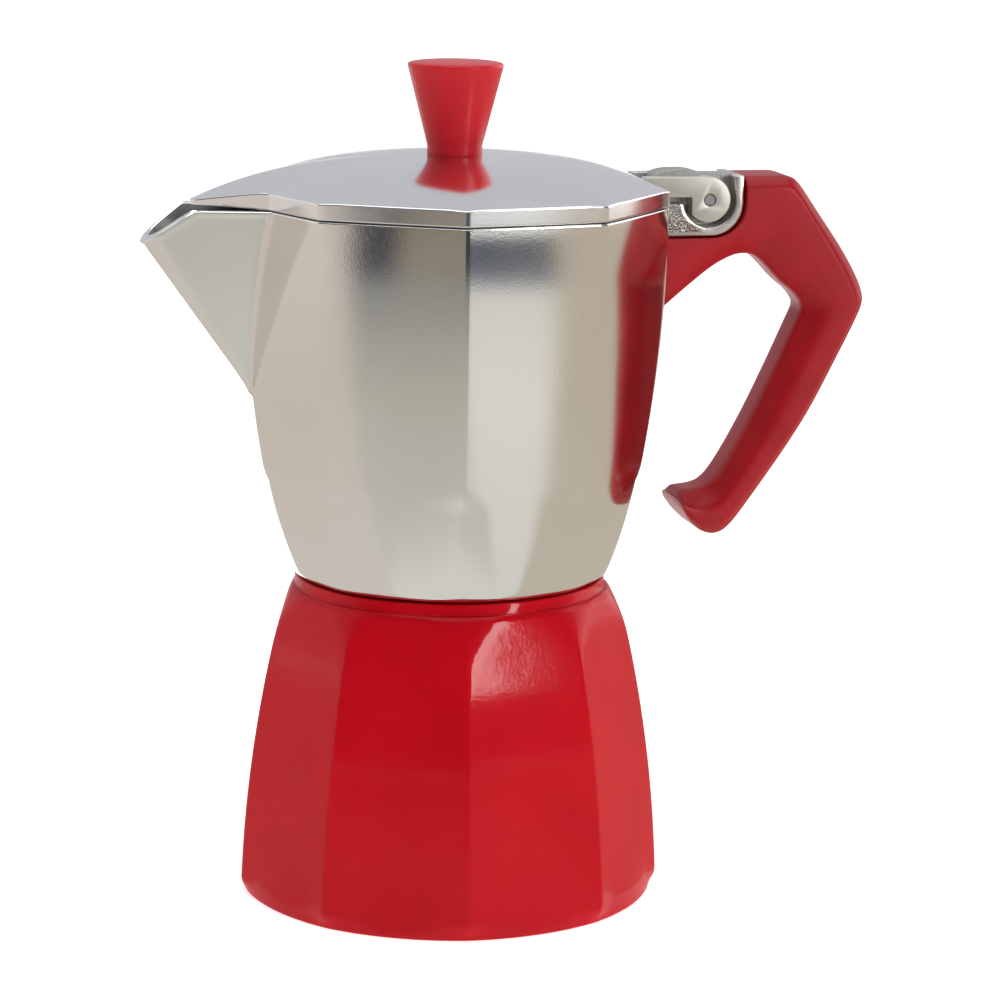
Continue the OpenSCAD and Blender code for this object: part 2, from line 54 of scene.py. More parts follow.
# Jug: skirt, rim, wall, roof and floor, then the round below its flats, spout and lip
skirt_z, skirt_r, rim_z, rim_flat = 78.5, 38.1, 167.6, 51.6 * FLAT
jug_bow, jug_wall, skirt_bore, roof_z, jug_floor_z = 2.6, 2.4, 35.5, 93.1, 96.1
jug_fade_z, jug_fade_r, jug_fade_slope = 102.5, 45.3, 1.04
spout_root, nose_x, nose_r, lip_x, lip_slope = 122.2, 81.06, 8.0, 64.0, 0.708
spout_half = 0.6            # angle either side of the spout's middle that it may reach

# Lid and hinge
lid_z, band_h, dome_z, lid_flat = 167.9, 4.0, 179.1, rim_flat + 0.1
pin_x, pin_z, lug_half, web_half, ear_in = rim_flat + 12.8, 168.2, 8.0, 3.7, 4.0
lug_back, lug_top, lug_bottom, strip_x = 69.815, 174.0, 159.5, 67.45
lug_root, lug_corner, screw_seat = 47.0, 8.0, 5.8

# Knob
knob_z, knob_r, knob_foot_r, knob_h = 178.9, 11.4, 6.6, 22.6


# ---------------------------------------------------------------- mesh helpers
def link(obj):
    bpy.context.scene.collection.objects.link(obj)
    return obj


def outward(mesh):
    """Makes the face normals point out of the closed shell."""
    bm = bmesh.new()
    bm.from_mesh(mesh)
    bmesh.ops.recalc_face_normals(bm, faces=bm.faces)
    bm.to_mesh(mesh)
    bm.free()


def smooth_faces(obj):
    for poly in obj.data.polygons:
        poly.use_smooth = True


def add_object(name, verts, faces, body, slot, materials, picks=None):
    """A closed piece in mm, riding on a body. picks gives each face's material index."""
    mesh = bpy.data.meshes.new(name)
    mesh.from_pydata((np.asarray(verts, float) * MM).tolist(), [], faces)
    for m in materials:
        mesh.materials.append(m)
    if picks is not None:
        for poly, pick in zip(mesh.polygons, picks):
            poly.material_index = pick
    mesh.update()
    obj = link(bpy.data.objects.new(name, mesh))
    smooth_faces(obj)
    outward(mesh)
    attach(obj, body)
    return obj


def grid_faces(rows, cols, close_rows=False):
    """Quads of a grid whose columns close round; rows run along the outward path."""
    out = []
    last = rows if close_rows else rows - 1
    for j in range(last):
        k = (j + 1) % rows
        for i in range(cols):
            n = (i + 1) % cols
            out.append((j * cols + i, j * cols + n, k * cols + n, k * cols + i))
    return out


def tube_faces(rows, cols):
    """The same grid with a cap at each end."""
    count = rows * cols
    return grid_faces(rows, cols) + [tuple(range(cols)),
                                     tuple(range(count - 1, count - 1 - cols, -1))]


def ring_mesh(angles, rows, close_rows=False):
    """Vertices, faces and material indices from rows of (radius, height, material index)."""
    cols = len(angles)
    verts = []
    for r, z, _ in rows:
        r, z = np.broadcast_to(r, (cols,)), np.broadcast_to(z, (cols,))
        verts += [(r[i] * math.cos(a), r[i] * math.sin(a), z[i]) for i, a in enumerate(angles)]
    if close_rows:
        return verts, grid_faces(len(rows), cols, True), [row[2] for row in rows for _ in range(cols)]
    picks = [row[2] for row in rows[:-1] for _ in range(cols)]
    return verts, tube_faces(len(rows), cols), picks + [rows[0][2]] * 2


def lathe(name, profile, body, slot, materials, cols=128):
    """A turned piece from [radius, height] points; radius 0 at an end makes a pole."""
    verts, faces, rings = [], [], []
    for r, z in profile:
        if r <= 1e-6:
            rings.append([len(verts)])
            verts.append((0, 0, z))
        else:
            rings.append(list(range(len(verts), len(verts) + cols)))
            for i in range(cols):
                a = 2 * math.pi * i / cols
                verts.append((r * math.cos(a), r * math.sin(a), z))
    for a, b in zip(rings, rings[1:]):
        for i in range(cols):
            n = (i + 1) % cols
            if len(a) == 1:
                faces.append((a[0], b[n], b[i]))
            elif len(b) == 1:
                faces.append((a[i], a[n], b[0]))
            else:
                faces.append((a[i], a[n], b[n], b[i]))
    return add_object(name, verts, faces, body, slot, materials)


def rounded(points, radii, steps=4):
    """A closed polygon with each corner replaced by a short curve."""
    out = []
    n = len(points)
    for i in range(n):
        p, a, b = (np.array(points[j % n], float) for j in (i, i - 1, i + 1))
        da, db = a - p, b - p
        la, lb = np.linalg.norm(da), np.linalg.norm(db)
        s = p + da / la * min(radii[i], la * 0.49)
        e = p + db / lb * min(radii[i], lb * 0.49)
        for k in range(steps + 1):
            t = k / steps
            out.append((1 - t) ** 2 * s + 2 * t * (1 - t) * p + t * t * e)
    return out


def soften(obj, width, angle=40, segments=3):
    """Rounds the edges of obj that turn by more than angle; width in mm."""
    bevel = obj.modifiers.new("edge", "BEVEL")
    bevel.width, bevel.segments = width * MM, segments
    bevel.limit_method, bevel.angle_limit = "ANGLE", math.radians(angle)


def prism_faces(n):
    """Faces of a prism between two loops of n vertices."""
    return [tuple(range(n)), tuple(range(2 * n - 1, n - 1, -1))] + [
        (i, n + i, n + (i + 1) % n, (i + 1) % n) for i in range(n)]


def block(outline, y0, y1):
    """Vertices and faces of a side outline [x, z] stretched along Y."""
    return [(x, y, z) for y in (y0, y1) for x, z in outline], prism_faces(len(outline))


def prism(name, outline, y0, y1, body, slot, materials, edge=0.0):
    """A piece from a side outline, with its edges rounded by edge."""
    obj = add_object(name, *block(outline, y0, y1), body, slot, materials)
    if edge:
        soften(obj, edge)
    return obj


def apply_modifiers(obj):
    deps = bpy.context.evaluated_depsgraph_get()
    mesh = bpy.data.meshes.new_from_object(obj.evaluated_get(deps))
    obj.modifiers.clear()
    old = obj.data
    obj.data = mesh
    bpy.data.meshes.remove(old)


def cut(obj, verts, faces):
    """Takes a closed solid, in mm, out of obj."""
    mesh = bpy.data.meshes.new("cutter")
    mesh.from_pydata((np.asarray(verts, float) * MM).tolist(), [], faces)
    outward(mesh)
    tool = link(bpy.data.objects.new("cutter", mesh))
    mod = obj.modifiers.new("cut", "BOOLEAN")
    mod.operation, mod.solver, mod.object = "DIFFERENCE", "EXACT", tool
    apply_modifiers(obj)
    smooth_faces(obj)
    bpy.data.objects.remove(tool)
    bpy.data.meshes.remove(mesh)


def arc(cx, cz, r, a0, a1, n):
    """Points of an arc in the XZ plane, angles in degrees from +X towards +Z."""
    return [(cx + r * math.cos(math.radians(a0 + (a1 - a0) * k / n)),
             cz + r * math.sin(math.radians(a0 + (a1 - a0) * k / n))) for k in range(n + 1)]


def lug_arc(radius, steps):
    """The rounded lower rear corner of the hinge lug."""
    return arc(lug_back - lug_corner, lug_bottom + lug_corner, radius, -90, 0, steps)


def smooth(edge0, edge1, x):
    """0 below edge0, 1 above edge1, with an S curve between."""
    t = np.clip((x - edge0) / (edge1 - edge0), 0, 1)
    return t * t * (3 - 2 * t)


def soft_min(a, b, k):
    """The smaller of a and b, rounded over a width of about k where they meet."""
    return -k * np.logaddexp(-a / k, -b / k)


def soft_max(a, b, k):
    """The larger of a and b, rounded in the same way."""
    return k * np.logaddexp(a / k, b / k)


# ---------------------------------------------------------------- faceted outlines
def facet(theta, turn=0.0):
    """Distance to the nine-sided outline over the distance of its flats."""
    total = np.zeros_like(theta)
    for i in range(SIDES):
        total += np.clip(np.cos(theta - turn - 2 * HALF * i), 0, 1) ** CORNER_POWER
    return total ** (-1 / CORNER_POWER)


def crown(theta, drop=0.0055):
    """Slight bulge of each flat, so that its edges fall back a little."""
    off = np.abs(np.mod(theta + HALF, 2 * HALF) - HALF) / HALF
    return 1.002 - drop * off ** 2


def bow(z, p, q, height):
    """Radius at height z along a bowed line from p to q, each [radius, height]."""
    t = np.clip((z - p[1]) / (q[1] - p[1]), 0, 1)
    return p[0] + (q[0] - p[0]) * t + height * 4 * t * (1 - t)


def corner_angles(turn, per_side=26):
    """Angles round a nine-sided piece, close together at its corners."""
    out = []
    for i in range(SIDES):
        for k in range(per_side):
            t = -1 + 2 * k / per_side
            out.append(turn + 2 * HALF * i + HALF * math.sin(t * math.pi / 2))
    return np.array(out)


def spouted_angles():
    """Round the jug: close together at the edges of the flats and all along the spout."""
    start, stop = math.radians(155), math.radians(205)
    plain = [a % (2 * math.pi) for a in corner_angles(0.0)]
    plain = [a for a in plain if not start - 0.002 < a < stop + 0.002]
    fine = list(np.linspace(start, stop, 151))
    return np.array(sorted(plain + fine))


def off_spout(theta):
    """Angle from the middle of the spout, which points along -X."""
    return np.arctan2(np.sin(theta - math.pi), np.cos(theta - math.pi))


def vee(phi, base_x, base_y, centre, radius):
    """Distance from the axis to a rounded V pointing along phi = 0."""
    dx, width = centre - base_x, max(base_y, 1e-3)
    reach = math.hypot(width, dx)
    alpha = math.acos(min(1, radius / reach)) - math.atan2(dx, width)
    nx, ny = math.sin(alpha), math.cos(alpha)
    k = nx * base_x + ny * width
    s = np.abs(np.sin(phi))
    c = np.cos(phi)
    line = k / np.maximum(nx * c + ny * s, 1e-3)
    touch = math.atan2(radius * ny, centre + radius * nx)
    round_part = centre * c + np.sqrt(np.maximum(radius ** 2 - (centre * s) ** 2, 0))
    return np.where(np.abs(phi) < touch, round_part, line)


# ---------------------------------------------------------------- materials
def new_material(name):
    m = bpy.data.materials.new(name)
    m.use_nodes = True
    tree = m.node_tree
    return m, tree, tree.nodes["Principled BSDF"]


def node(tree, kind, **settings):
    n = tree.nodes.new(kind)
    for key, value in settings.items():
        setattr(n, key, value)
    return n


def mm_coords(tree, scale=(1, 1, 1)):
    """Object coordinates in millimetres, stretched by scale."""
    coords = node(tree, "ShaderNodeTexCoord")
    mapping = node(tree, "ShaderNodeMapping")
    mapping.inputs["Scale"].default_value = tuple(1000 * s for s in scale)
    tree.links.new(coords.outputs["Object"], mapping.inputs["Vector"])
    return mapping.outputs["Vector"]


def noise(tree, vector, scale, detail=4, rough=0.55):
    n = node(tree, "ShaderNodeTexNoise")
    n.inputs["Scale"].default_value = scale
    n.inputs["Detail"].default_value = detail
    n.inputs["Roughness"].default_value = rough
    tree.links.new(vector, n.inputs["Vector"])
    return n.outputs["Fac"]


def ramp(tree, source, low, high, at=(0.35, 0.65)):
    n = node(tree, "ShaderNodeMapRange")
    n.inputs["From Min"].default_value, n.inputs["From Max"].default_value = at
    n.inputs["To Min"].default_value, n.inputs["To Max"].default_value = low, high
    tree.links.new(source, n.inputs["Value"])
    return n.outputs["Result"]


def math_node(tree, operation, *values):
    n = node(tree, "ShaderNodeMath", operation=operation)
    for i, v in enumerate(values):
        if isinstance(v, (int, float)):
            n.inputs[i].default_value = v
        else:
            tree.links.new(v, n.inputs[i])
    return n.outputs[0]


def split_xyz(tree, vector):
    n = node(tree, "ShaderNodeSeparateXYZ")
    tree.links.new(vector, n.inputs[0])
    return n.outputs


def length(tree, a, b):
    total = math_node(tree, "ADD", math_node(tree, "MULTIPLY", a, a), math_node(tree, "MULTIPLY", b, b))
    return math_node(tree, "SQRT", total)


def colours(tree, source, stops):
    n = node(tree, "ShaderNodeValToRGB")
    cr = n.color_ramp
    while len(cr.elements) < len(stops):
        cr.elements.new(0.5)
    for e, (pos, col) in zip(cr.elements, stops):
        e.position = pos
        e.color = (*col, 1)
    tree.links.new(source, n.inputs["Fac"])
    return n.outputs["Color"]


def bump(tree, bsdf, height, strength, distance, below=None):
    """Bump of distance mm, on top of the normal below if that is given."""
    n = node(tree, "ShaderNodeBump")
    n.inputs["Strength"].default_value = strength
    n.inputs["Distance"].default_value = distance * MM
    tree.links.new(height, n.inputs["Height"])
    if below is not None:
        tree.links.new(below, n.inputs["Normal"])
    tree.links.new(n.outputs["Normal"], bsdf.inputs["Normal"])
    return n.outputs["Normal"]


def metal(name, tint, rough, spread, shade, grain_scale, grain_height, grain=(1, 1, 1), waves=None):
    """Bare metal: a fine grain, slightly uneven polish and, if asked, a slow waviness.
    spread is how far the roughness varies, shade how much darker the tint gets, grain the
    grain's stretch along each axis and waves the scale and height in mm of the waviness."""
    m, tree, bsdf = new_material(name)
    bsdf.inputs["Metallic"].default_value = 1.0
    vector = mm_coords(tree, grain)
    fine = noise(tree, vector, grain_scale, 5, 0.6)
    broad = noise(tree, mm_coords(tree), 0.06, 3)
    both = math_node(tree, "ADD", math_node(tree, "MULTIPLY", fine, 0.5),
                     math_node(tree, "MULTIPLY", broad, 0.5))
    dark = tuple(c * (1 - shade) for c in tint)
    tree.links.new(colours(tree, both, [(0.35, dark), (0.65, tint)]), bsdf.inputs["Base Color"])
    tree.links.new(ramp(tree, both, rough - spread, rough + spread), bsdf.inputs["Roughness"])
    low = None
    if waves:
        slow = noise(tree, mm_coords(tree), waves[0], 2)
        low = bump(tree, bsdf, slow, 1.0, waves[1])
    bump(tree, bsdf, fine, 0.5, grain_height, low)
    return m


def plastic(name, tint, rough):
    """Moulded heat-proof plastic: fine satin skin, faint flow mottling."""
    m, tree, bsdf = new_material(name)
    vector = mm_coords(tree)
    skin = noise(tree, vector, 3.2, 3, 0.6)
    flow = noise(tree, vector, 0.08, 3)
    dark = tuple(c * 0.86 for c in tint)
    tree.links.new(colours(tree, flow, [(0.35, dark), (0.65, tint)]), bsdf.inputs["Base Color"])
    tree.links.new(ramp(tree, skin, rough - 0.05, rough + 0.06), bsdf.inputs["Roughness"])
    bsdf.inputs["Specular IOR Level"].default_value = 0.28
    bump(tree, bsdf, skin, 0.35, 0.012)
    return m


def lacquer(name):
    """Deep red gloss over cast metal: orange peel, small pits, a clear coat."""
    m, tree, bsdf = new_material(name)
    vector = mm_coords(tree)
    cloud = noise(tree, vector, 0.05, 4)
    reds = [(0.3, (0.52, 0.001, 0.008)), (0.7, (0.58, 0.002, 0.010))]
    tree.links.new(colours(tree, cloud, reds), bsdf.inputs["Base Color"])
    peel = noise(tree, vector, 1.1, 3, 0.5)
    waves = noise(tree, vector, 0.09, 2)
    pits = node(tree, "ShaderNodeTexVoronoi", feature="F1")
    pits.inputs["Scale"].default_value = 0.11
    tree.links.new(vector, pits.inputs["Vector"])
    spot = ramp(tree, pits.outputs["Distance"], -1.0, 0.0, (0.02, 0.055))
    bsdf.inputs["Roughness"].default_value = 0.5
    bsdf.inputs["Specular IOR Level"].default_value = 0.05
    bsdf.inputs["Coat Weight"].default_value = 0.28
    bsdf.inputs["Coat Roughness"].default_value = 0.07
    bsdf.inputs["Coat IOR"].default_value = 1.5
    first = bump(tree, bsdf, peel, 0.5, 0.022)
    second = bump(tree, bsdf, waves, 0.5, 0.07, first)
    third = bump(tree, bsdf, spot, 0.6, 0.06, second)
    tree.links.new(third, bsdf.inputs["Coat Normal"])
    return m


red_lacquer = lacquer("red_lacquer")
polished = metal("polished_aluminium", (0.87, 0.86, 0.84), 0.07, 0.02, 0.03, 2.3, 0.011,
                 grain=(1, 1, 0.8), waves=(0.045, 0.01))
lid_metal = metal("polished_lid", (0.86, 0.86, 0.87), 0.14, 0.03, 0.03, 2.2, 0.010,
                  waves=(0.03, 0.008))
milled = metal("milled_aluminium", (0.74, 0.71, 0.65), 0.46, 0.06, 0.1, 2.2, 0.010,
               grain=(0.25, 1, 3.5))
cast = metal("cast_aluminium", (0.55, 0.54, 0.52), 0.5, 0.08, 0.45, 1.6, 0.35)
jug_inside = metal("aged_aluminium", (0.40, 0.39, 0.37), 0.5, 0.08, 0.25, 1.2, 0.03,
                   grain=(1, 1, 0.4))
inside_metal = metal("plain_aluminium", (0.78, 0.78, 0.77), 0.4, 0.07, 0.08, 2.5, 0.015,
                     grain=(1, 1, 0.2))
sheet_metal = metal("pressed_aluminium", (0.80, 0.80, 0.80), 0.33, 0.06, 0.07, 4.0, 0.008)
steel = metal("steel", (0.62, 0.62, 0.63), 0.28, 0.06, 0.12, 5.0, 0.008)
brass = metal("brass", (0.80, 0.58, 0.26), 0.26, 0.06, 0.15, 4.0, 0.008)
red_plastic = plastic("red_plastic", (0.38, 0.004, 0.010), 0.38)
# Painted light: a lighter copy of the red plastic for the knob, standing in for the light its flared sides
# catch from below
knob_plastic_painted_light = plastic("knob_plastic_painted_light", (0.66, 0.010, 0.020), 0.32)
rubber = plastic("rubber", (0.82, 0.81, 0.77), 0.6)
fibre = plastic("fibre", (0.36, 0.12, 0.05), 0.75)

plain_looks = {
    "valve_body": brass, "valve_plunger": brass, "valve_washer": fibre, "valve_retainer": steel,
    "valve_spring": steel, "funnel_basket": sheet_metal, "funnel_tube": sheet_metal,
    "funnel_sieve": sheet_metal, "gasket": rubber, "filter_plate": sheet_metal,
    "column": inside_metal, "handle_screw": steel, "hinge_pin": steel,
    "knob_washer": steel, "knob_screw": steel,
    "boiler": red_lacquer, "collector": polished, "handle": red_plastic, "lid": lid_metal,
    "knob": red_plastic,
}
for name, look in plain_looks.items():
    mesh = nodes[name].data
    mesh.materials.clear()
    mesh.materials.append(look)


# ---------------------------------------------------------------- boiler
def boiler_radius(theta, z):
    flats = bow(z, (foot_flat, 1), (shoulder_r - 0.3, shoulder_z), flank_bow)
    flats = flats * facet(theta, boiler_turn)
    fade = bow(z, (boiler_fade_r, boiler_fade_z), (shoulder_r, shoulder_z), 1.0)
    r = soft_min(flats, np.where(z < boiler_fade_z, 60.0 + (boiler_fade_z - z), fade), 0.28)
    flats_in = (1 - np.clip(z / base_blend, 0, 1)) ** 2
    corners_in = 1 - smooth(0.0, corner_blend, z)
    return r + (base_r - r) * np.where(r < base_r, flats_in, corners_in)


def build_boiler():
    angles = corner_angles(boiler_turn)
    red, bare = 0, 1
    foot_round, side_top = 0.7, 74.2

    def side(z):
        return boiler_radius(angles, np.full(len(angles), z))

    # Underside with its shallow recess, and the rounded lower edge
    rows = [(r, z, bare) for r, z in ((0.5, 0.7), (20, 0.7), (40.5, 0.7), (41.2, 0.5),
                                      (41.6, 0.1), (42.2, 0), (48, 0))]
    low = side(foot_round)
    for k in range(5):
        a = k * math.pi / 8
        rows.append((low - foot_round + foot_round * math.sin(a), foot_round - foot_round * math.cos(a),
                     red if k else bare))
    # Side and rounded shoulder
    heights = list(np.linspace(0.9, 3.0, 8)) + [4.0, 5.5] + list(np.linspace(8, 60, 22))
    heights += list(np.linspace(61.5, side_top, 22))
    rows += [(side(z), z, red) for z in heights]
    top = side(side_top)
    for k in range(1, 5):
        a = k * math.pi / 8
        rows.append((top - 0.35 - 0.7 * (1 - math.cos(a)), side_top + 0.1 + 0.9 * math.sin(a), red))
    # Collar, neck and the bare inside
    rows += [(r, z, red) for r, z in (
        (collar_r + 0.25, shoulder_z), (collar_r, shoulder_z + 0.25), (collar_r, collar_z - 0.4),
        (collar_r - 0.12, collar_z - 0.12), (collar_r - 0.4, collar_z), (neck_r + 0.4, collar_z))]
    rows += [(r, z, bare) for r, z in (
        (neck_r, collar_z + 0.4), (neck_r, neck_top - 0.4), (neck_r - 0.4, neck_top),
        (neck_bore + 0.3, neck_top), (neck_bore, neck_top - 0.3), (neck_bore, collar_z))]
    foot_in = (foot_flat - boiler_wall, floor_t + 3)
    shoulder_in = (shoulder_r - 0.3 - boiler_wall, shoulder_z - 4)
    rows.append((*shoulder_in, bare))
    rows += [(bow(z, foot_in, shoulder_in, flank_bow), z, bare) for z in np.linspace(64, 7, 12)]
    rows += [(r, z, bare) for r, z in ((foot_in[0] - 0.9, floor_t + 0.9), (foot_in[0] - 3, floor_t),
                                       (20, floor_t), (0.5, floor_t))]
    verts, faces, picks = ring_mesh(angles, rows)
    obj = add_object("boiler_shell", verts, faces, "boiler_body", "red_lacquer",
                     [red_lacquer, inside_metal], picks)
    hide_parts("boiler")


build_boiler()


# ---------------------------------------------------------------- threads
def thread(name, base, height, z0, body):
    """Helical ridge with run-out ends; a negative height points inwards."""
    turns, per_turn, pitch, runout = 2.4, 72, 3.0, 10
    n = round(turns * per_turn)
    side = math.copysign(1, height)
    verts = []
    for i in range(n + 1):
        a, z = 2 * math.pi * i / per_turn, z0 + i * pitch / per_turn
        tip = base + height * min(1, (i + 0.5) / runout, (n - i + 0.5) / runout)
        loop = [(base - side * 0.3, 0.62), (base + side * 0.1, 0.55),
                (tip - side * 0.12, 0.28), (tip, 0.12)]
        loop = [(r, -dz) for r, dz in loop] + loop[::-1]
        verts += [(r * math.cos(a), r * math.sin(a), z + dz) for r, dz in loop]
    add_object(name, verts, tube_faces(n + 1, len(loop)), body, "plain_aluminium", [inside_metal])


thread_h, thread_start, half_pitch = 0.75, 1.3, 1.5
thread("boiler_thread", neck_r, thread_h, collar_z + thread_start, "boiler_body")
thread("jug_thread", skirt_bore, -thread_h, collar_z + thread_start + half_pitch, "jug")


# ---------------------------------------------------------------- jug
def jug_profile(z):
    """Distance of the jug's flats from the axis, before the round below them."""
    return bow(z, (skirt_r + 0.2, skirt_z + 0.5), (rim_flat, rim_z - 0.5), jug_bow)


def jug_body(theta, z, inset):
    flats = (jug_profile(z) - inset) * facet(theta) * crown(theta)
    limit = np.where(z < jug_fade_z, bow(z, (skirt_r, skirt_z), (jug_fade_r, jug_fade_z), 0.6),
                     jug_fade_r + (z - jug_fade_z) * jug_fade_slope)
    return soft_min(flats, limit - inset, 0.7)


def jug_spout(theta, z, inset):
    """A V that grows from nothing at spout_root to its full reach and width at the rim."""
    root_centre, inner_x, full_half = 48.3, 44.0, 14.6
    phi = off_spout(theta)
    out = np.zeros_like(theta)
    for i in range(len(theta)):
        t = (z[i] - spout_root - inset * 1.2) / (rim_z - spout_root)
        if t <= 0.004 or abs(phi[i]) > spout_half:
            continue
        centre = (1 - t) * root_centre + t * (nose_x - nose_r)
        radius = max(nose_r * t - inset * min(1, t * 2), 0.2)
        out[i] = vee(phi[i:i + 1], inner_x, max(full_half * t - inset, 0.1), centre, radius)[0]
    return out


def jug_radius(theta, z, inset=0.0):
    body = jug_body(theta, z, inset)
    spout = jug_spout(theta, z, inset * 0.72)
    return np.where(spout > 1, soft_max(body, np.maximum(spout, 1), 0.9), body)


def lip_heights(theta, inset):
    """Height of the rim at each angle: level, then sloping down over the spout."""
    phi = theta - math.pi
    z = np.full_like(theta, rim_z)
    near = np.abs(phi) < 0.5
    low, high = np.full_like(theta, rim_z - 20), np.full_like(theta, rim_z)
    for _ in range(30):
        mid = (low + high) / 2
        x = jug_radius(theta, mid, inset) * np.cos(phi)
        over = mid > rim_z - np.maximum(0, x - lip_x) * lip_slope
        high = np.where(over, mid, high)
        low = np.where(over, low, mid)
    return np.where(near, high, z)


def build_jug():
    angles = spouted_angles()
    cols = len(angles)
    polish, inside = 0, 1
    knee, fillet, skirt_top = 138.0, 5.0, 79.3
    boss_r, bore = 8.4, 6.05
    tops = {inset: lip_heights(angles, inset) for inset in (0.0, jug_wall)}
    rows = []

    def ring(r, z, kind=polish):
        rows.append((r, z, kind))

    def wall(z, inset):
        """Radii and heights of the ring at z; above the knee, rings lean to follow the lip."""
        zz = np.full(cols, float(z))
        if z > knee:
            zz = knee + (z - knee) * (tops[inset] - knee) / (rim_z - knee)
        return jug_radius(angles, zz, inset), zz

    # Inside, from the column's boss up to the rim
    for r, dz in ((bore, 5.0), (boss_r - 0.5, 5.0), (boss_r, 4.5), (boss_r, 1.0), (boss_r + 1.0, 0), (22, 0)):
        ring(r, jug_floor_z + dz, inside)
    corner = jug_body(angles, np.full(cols, jug_floor_z + fillet), jug_wall)
    for k in range(6):
        a = k * math.pi / 10
        ring(corner - fillet + fillet * math.sin(a), jug_floor_z + fillet - fillet * math.cos(a), inside)
    for z in [*np.linspace(jug_floor_z + 7, 137, 14), *np.linspace(139.5, rim_z - 1.0, 18)]:
        ring(*wall(z, jug_wall), inside)
    # Rim with its two small roundings
    r_in, z_in = wall(rim_z, jug_wall)
    r_out, z_out = wall(rim_z, 0.0)
    thick = r_out - r_in
    ring(r_in, z_in - 0.3)
    ring(r_in + 0.09 * thick, z_in - 0.06)
    ring(r_in + 0.2 * thick, z_in * 0.8 + z_out * 0.2)
    ring(r_in + 0.8 * thick, z_in * 0.2 + z_out * 0.8)
    ring(r_out - 0.09 * thick, z_out - 0.06)
    ring(r_out, z_out - 0.3)
    ring(r_out, z_out - 0.45)
    # Outside, down to the rounded edge of the skirt
    for z in [*np.linspace(rim_z - 1.0, 139.5, 24), *np.linspace(137.5, 116, 26),
              *np.linspace(114, 100, 9), *np.linspace(98.8, skirt_top, 20)]:
        ring(*wall(z, 0.0))
    low = jug_body(angles, np.full(cols, skirt_top), 0.0)
    for k in range(1, 5):
        a = k * math.pi / 8
        ring(low - 0.35 - 0.6 * (1 - math.cos(a)), skirt_top - 0.1 - 0.7 * math.sin(a))
    # Socket for the boiler's neck
    for r, z in ((skirt_bore + 0.4, skirt_z), (skirt_bore, skirt_z + 0.4), (skirt_bore, roof_z - 0.4),
                 (skirt_bore - 0.4, roof_z), (29.5, roof_z), (28, roof_z + 1.0), (bore, roof_z + 1.6)):
        ring(r, z, inside)
    verts, faces, picks = ring_mesh(angles, rows, True)
    obj = add_object("jug_shell", verts, faces, "jug", "polished_aluminium",
                     [polished, jug_inside], picks)
    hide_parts("collector")


build_jug()


# ---------------------------------------------------------------- hinge lug on the jug
def build_lug():
    # Cheeks: a round pocket for the lid's ears is taken out of the front upper part
    land, pocket_r = pin_z - 0.75, 6.6
    begin = math.degrees(math.acos((strip_x - pin_x) / pocket_r))
    end = math.degrees(math.asin((pin_z - land) / pocket_r)) - 180
    side = [(lug_root, lug_bottom)] + lug_arc(lug_corner, 14) + [(lug_back, lug_top), (strip_x, lug_top)]
    side += arc(pin_x, pin_z, pocket_r, begin, end, 40) + [(lug_root, land)]
    for y0, y1, tag in ((-lug_half, -web_half + 0.05, "front"), (web_half - 0.05, lug_half, "back")):
        prism("lug_cheek_" + tag, side, y0, y1, "jug", "polished_aluminium", [lug_metal], 0.35)
    # Web between them: a low hump on top, then an arc that clears the lid's notch
    slot_r, hump_h, hump_steps, start, land = 13.9, 1.1, 12, pin_x - 0.5, rim_z - 0.5
    left = pin_x - math.sqrt(slot_r ** 2 - (lug_top - pin_z) ** 2)
    hump = []
    for k in range(hump_steps + 1):
        t = k / hump_steps
        hump.append((start + (left - start) * t, lug_top + hump_h * (1 - abs(2 * t - 1) ** 3)))
    low = math.degrees(math.asin((land - pin_z) / slot_r))
    high = math.degrees(math.asin((lug_top - pin_z) / slot_r))
    web = [(lug_root, lug_bottom)] + lug_arc(lug_corner, 14) + [(lug_back, lug_top)] + hump
    web += arc(pin_x, pin_z, slot_r, 180 - high, 180 - low, 8)[1:] + [(lug_root, land)]
    prism("lug_web", web, -web_half, web_half, "jug", "polished_aluminium", [cast], 0.35)


def lug_look():
    """Smooth round the pocket, rough from the mould on the flat beside the jug, where painted shade darkens
    the mould's pits.
    """
    m, tree, bsdf = new_material("lug_aluminium")
    bsdf.inputs["Metallic"].default_value = 1.0
    vector = mm_coords(tree)
    split = split_xyz(tree, vector)
    far = length(tree, math_node(tree, "SUBTRACT", split["X"], pin_x),
                 math_node(tree, "SUBTRACT", split["Z"], pin_z))
    left = math_node(tree, "LESS_THAN", split["X"], pin_x - 1.5)
    high = math_node(tree, "GREATER_THAN", split["Z"], lug_bottom + 1.1)
    out = math_node(tree, "GREATER_THAN", far, 7.5)
    mask = math_node(tree, "MULTIPLY", math_node(tree, "MULTIPLY", left, out), high)
    cells = node(tree, "ShaderNodeTexVoronoi", feature="F1")
    cells.inputs["Scale"].default_value = 2.4
    tree.links.new(vector, cells.inputs["Vector"])
    height = math_node(tree, "MULTIPLY", cells.outputs["Distance"], mask)
    fine = noise(tree, vector, 3.0, 5)
    # Painted shade: the colour goes near black in the pits of the cast flat
    painted_pit_shade = ramp(tree, cells.outputs["Distance"], 1.0, 0.0, (0.1, 0.7))
    tint = math_node(tree, "MULTIPLY", painted_pit_shade, mask)
    tree.links.new(colours(tree, tint, [(0.0, (0.76, 0.73, 0.68)), (1.0, (0.10, 0.10, 0.10))]),
                   bsdf.inputs["Base Color"])
    tree.links.new(ramp(tree, fine, 0.26, 0.36), bsdf.inputs["Roughness"])
    first = bump(tree, bsdf, fine, 0.4, 0.01)
    bump(tree, bsdf, height, 1.0, 0.35, first)
    return m


lug_metal = lug_look()
build_lug()


